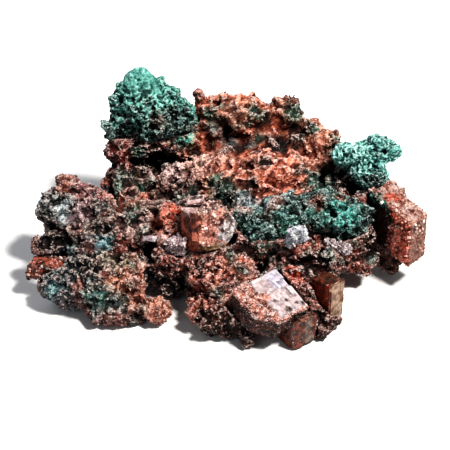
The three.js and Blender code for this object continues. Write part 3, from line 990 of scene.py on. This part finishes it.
# Cleaved calcite is glassy and pale at its edges, where the paleness is painted highlight, with
# painted shade in its hollows, and iron inside it stains it brown, red or amber.
# Where it is clear, a little of the light goes through.
calcite_pieces = {}
for node, look in CALCITE.items():
    piece = copy_of(node, node.replace("crystal", "calcite"))
    low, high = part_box(node)
    middle = (Vector(low) + Vector(high)) / 2
    turned = Euler([math.radians(angle) for angle in look["turn"]]).to_matrix()
    for point, outwards in look.get("broken", []):
        break_off(piece, middle + turned @ Vector(point) * MM, turned @ Vector(outwards))
    modifier = piece.modifiers.new("remesh", "REMESH")
    modifier.mode = "SHARP"
    modifier.octree_depth = 6 if max(piece.dimensions) > 8 * MM else 5
    modifier.scale = 0.95
    relief(piece, BROKEN if node in ROUGH_ONES else CLEAVED, turn=look["turn"])
    mark_hollows(piece, [("hollow", 4, 0.12), ("deep", 40, 0.8)])
    apply_modifiers(piece)
    own_frame = (middle / MM, np.array(turned))
    faces = look["faces"]
    paint(piece, faces[0][1:], look.get("patches", []), 0.2, 1.2, faces, own_frame)
    material, tree, shader = new_material(node.replace("crystal", "cleaved_calcite"))
    mineral_skin(tree, shader, 0.9, 0.75, 1.15, 0.5, 0.9, FROST_AND_HIGHLIGHT[look["slot"]])
    shader.inputs["Roughness"].default_value = 0.35
    shader.inputs["Specular IOR Level"].default_value = 0.12
    shader.inputs["IOR"].default_value = 1.6
    shader.inputs["Transmission Weight"].default_value = look.get("clear", 0.0)
    piece.data.materials.append(material)
    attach(piece, "root")
    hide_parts(node)
    calcite_pieces[node] = piece

# ---------------------------------------------------------------------------------------------------
# The druse: a skin of tiny quartz and calcite crystals, 0.1 to 0.75 mm across, on the rock and on all
# that grew on it. Each is a small block or point, half sunk in what it grew on.
bpy.ops.mesh.primitive_cube_add(size=0.9)
block = bpy.context.object
bpy.ops.mesh.primitive_uv_sphere_add(segments=5, ring_count=2, radius=0.55)
spike = bpy.context.object
spike.data.transform(Matrix.Diagonal((1, 1, 1.5, 1)))
shapes = bpy.data.collections.new("grain_shapes")
bpy.context.scene.collection.children.link(shapes)
for shape in (block, spike):
    for home in list(shape.users_collection):
        home.objects.unlink(shape)
    shapes.objects.link(shape)


def lay_out(mesh):
    """A UV map that holds each grain, a run of faces with one value, in a small cell of its own."""
    values = np.empty(len(mesh.vertices), np.float32)
    mesh.attributes["grain"].data.foreach_get("value", values)
    corners = np.empty(len(mesh.loops), np.int32)
    mesh.loops.foreach_get("vertex_index", corners)
    starts = np.empty(len(mesh.polygons), np.int32)
    mesh.polygons.foreach_get("loop_start", starts)
    sides = np.diff(starts, append=len(corners))
    values = values[corners[starts]]
    grains = np.cumsum(values != np.roll(values, 1))
    across = math.ceil(math.sqrt(grains[-1] + 1))
    cells = np.repeat(np.stack([grains % across, grains // across], axis=1), sides, axis=0)
    turns = np.arange(len(corners)) - np.repeat(starts, sides)
    spots = np.array([(0.1, 0.1), (0.9, 0.1), (0.9, 0.9), (0.1, 0.9), (0.1, 0.5)])[turns]
    layer = mesh.uv_layers.new(name="OFBake")
    layer.data.foreach_set("uv", ((cells + spots) / across).astype(np.float32).ravel())


FLOOR_GAP = 0.8  # nothing grows lower than this, where the specimen rests
SEAT_GAP = 0.4  # or nearer than this to what is seated in the rock
PORE = 0.62  # or in pores, where the surface is more hollow than this
DENSEST = 1.4e7  # points to a square metre, more than the spacing leaves room for
LEAN = math.radians(42)


def grow_druse(hosts, name, material, spacing, small, large, seed, region=(), clear_of=None):
    """A piece of tiny crystals that stand on the hosts' faces, thickest where the coat is. A region
    is a list of axis, low and high."""
    tree, mesh, output = new_geometry_group(name)
    together = add(tree, "GeometryNodeJoinGeometry")
    for host in hosts:
        link = add(tree, "GeometryNodeObjectInfo", {"Object": host}).outputs["Geometry"]
        tree.links.new(link, together.inputs[0])
    place = add(tree, "GeometryNodeInputPosition")
    where = add(tree, "ShaderNodeSeparateXYZ", {0: place}).outputs
    inputs = {0: where[2], 1: FLOOR_GAP * MM}
    keep = add(tree, "ShaderNodeMath", inputs, operation="GREATER_THAN")
    for axis, low, high in region:
        inputs = {0: where[axis], 1: (low + high) / 2 * MM, 2: (high - low) / 2 * MM}
        within = add(tree, "ShaderNodeMath", inputs, operation="COMPARE")
        keep = add(tree, "ShaderNodeMath", {0: keep, 1: within}, operation="MULTIPLY")
    if clear_of:
        target = add(tree, "GeometryNodeObjectInfo", {"Object": clear_of}).outputs["Geometry"]
        near = add(tree, "GeometryNodeProximity", {0: target}, target_element="FACES")
        inputs = {0: near.outputs["Distance"], 1: SEAT_GAP * MM}
        away = add(tree, "ShaderNodeMath", inputs, operation="GREATER_THAN")
        keep = add(tree, "ShaderNodeMath", {0: keep, 1: away}, operation="MULTIPLY")
    coat = add(tree, "GeometryNodeInputNamedAttribute", {0: "coat"}, data_type="FLOAT")
    keep = add(tree, "ShaderNodeMath", {0: keep, 1: coat}, operation="MULTIPLY")
    hollow = add(tree, "GeometryNodeInputNamedAttribute", {0: "hollow"}, data_type="FLOAT")
    outside = add(tree, "ShaderNodeMath", {0: hollow, 1: PORE}, operation="LESS_THAN")
    keep = add(tree, "ShaderNodeMath", {0: keep, 1: outside}, operation="MULTIPLY")
    inputs = {
        "Mesh": together,
        "Distance Min": spacing * MM,
        "Density Max": DENSEST,
        "Density Factor": keep,
        "Seed": seed,
    }
    spots = add(tree, "GeometryNodeDistributePointsOnFaces", inputs, distribute_method="POISSON")
    inputs = {"Collection": shapes, "Separate Children": True, "Reset Children": True}
    children = add(tree, "GeometryNodeCollectionInfo", inputs)
    inputs = {0: (-LEAN, -LEAN, -math.pi), 1: (LEAN, LEAN, math.pi), "Seed": seed + 1}
    tilt = add(tree, "FunctionNodeRandomValue", inputs, data_type="FLOAT_VECTOR")
    chance = add(tree, "FunctionNodeRandomValue", {"Seed": seed + 2}, data_type="FLOAT")
    chance = add(tree, "ShaderNodeMath", {0: chance, 1: 1.8}, operation="POWER")
    inputs = {0: chance, 1: (large - small) * MM, 2: small * MM}
    across = add(tree, "ShaderNodeMath", inputs, operation="MULTIPLY_ADD")
    inputs = {0: (0.7, 0.7, 0.8), 1: (1.2, 1.2, 1.4), "Seed": seed + 4}
    shape = add(tree, "FunctionNodeRandomValue", inputs, data_type="FLOAT_VECTOR")
    size = add(tree, "ShaderNodeVectorMath", {0: shape, 3: across}, operation="SCALE")
    inputs = {0: spots.outputs["Rotation"], 1: tilt}
    turned = add(tree, "FunctionNodeRotateRotation", inputs, rotation_space="LOCAL")
    inputs = {
        "Points": spots,
        "Instance": children,
        "Pick Instance": True,
        "Rotation": turned,
        "Scale": size,
    }
    placed = add(tree, "GeometryNodeInstanceOnPoints", inputs)
    chance = add(tree, "FunctionNodeRandomValue", {"Seed": seed + 3}, data_type="FLOAT")
    inputs = {"Geometry": placed, "Name": "grain", "Value": chance}
    settings = {"data_type": "FLOAT", "domain": "INSTANCE"}
    stored = add(tree, "GeometryNodeStoreNamedAttribute", inputs, **settings)
    real = add(tree, "GeometryNodeRealizeInstances", {0: stored})
    tree.links.new(real.outputs[0], output.inputs[0])
    piece = bpy.data.objects.new(name, bpy.data.meshes.new(name))
    bpy.context.collection.objects.link(piece)
    piece.modifiers.new("druse", "NODES").node_group = tree
    apply_modifiers(piece)
    while piece.data.uv_layers:
        piece.data.uv_layers.remove(piece.data.uv_layers[0])
    lay_out(piece.data)
    piece.data.materials.clear()
    piece.data.materials.append(material)
    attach(piece, "root")


# Quartz and calcite in crystals this small are glassy: each one catches the light in its own way, so
# each is painted with a shade of its own, from nearly black to frosted pale, as painted glints. Each
# is also painted darker in wide hollows, as shade.
def glitter(name, pale, dimmest=0.25, brightest=1.7):
    """The material of a druse, which takes its tone from what it grew on."""
    material, tree, shader = new_material(name)
    tone = add(tree, "ShaderNodeAttribute", attribute_name="tone").outputs["Color"]
    grain = add(tree, "ShaderNodeAttribute", attribute_name="grain").outputs["Fac"]
    inputs = {0: grain, 1: 0.1, 2: 0.95, 3: dimmest, 4: brightest}
    shade = add(tree, "ShaderNodeMapRange", inputs)
    deep = add(tree, "ShaderNodeAttribute", attribute_name="deep").outputs["Fac"]
    deep = add(tree, "ShaderNodeMapRange", {0: deep, 1: 0.45, 2: 0.9, 3: 1.0, 4: 0.15})
    light = add(tree, "ShaderNodeMath", {0: shade, 1: deep}, operation="MULTIPLY")
    colour = painted_light_and_shade(tree, tone, light, pale)
    tree.links.new(colour.outputs["Result"], shader.inputs["Base Color"])
    shader.inputs["Roughness"].default_value = 0.35
    shader.inputs["Specular IOR Level"].default_value = 0.3
    return material


rosy = glitter("drusy_quartz", ROSY_WHITE)
grey = glitter("clear_drusy_quartz", "#dfdfe0")
green = glitter("drusy_malachite", "#d5e6e6")
sugary = glitter("sugary_calcite", "#f2dfd8", 0.5, 2.0)

# The rock's druse is in seven pieces, which keeps each under 200,000 triangles: axis, low and high.
REGIONS = {
    "druse_left_low": [(0, -99, -26), (1, -99, 99)],
    "druse_left_high": [(0, -26, -14), (1, -99, 9)],
    "druse_back_left": [(0, -26, 2), (1, 9, 99)],
    "druse_back_right": [(0, 2, 99), (1, 9, 99)],
    "druse_middle": [(0, -14, 4), (1, -99, 9)],
    "druse_front": [(0, 4, 18), (1, -99, 9)],
    "druse_right": [(0, 18, 99), (1, -99, 9)],
}
for number, (name, region) in enumerate(REGIONS.items()):
    crystals = grey if name == "druse_left_low" else rosy
    grow_druse([rock], name, crystals, 0.28, 0.14, 0.42, 10 * number, region, seated)
grow_druse(malachite_pieces, "druse_on_malachite", green, 0.3, 0.14, 0.36, 90)
hosts = list(calcite_pieces.values())
grow_druse(hosts, "druse_on_calcite", rosy, 0.28, 0.1, 0.32, 100)
# Three of the crystals also carry a coarser, sugary coat.
hosts = [calcite_pieces["crystal_" + place] for place in ("right", "left", "centre")]
grow_druse(hosts, "druse_coarse", sugary, 0.55, 0.28, 0.75, 110)

for leftover in (block, spike, seated):
    bpy.data.objects.remove(leftover)
bpy.data.collections.remove(shapes)
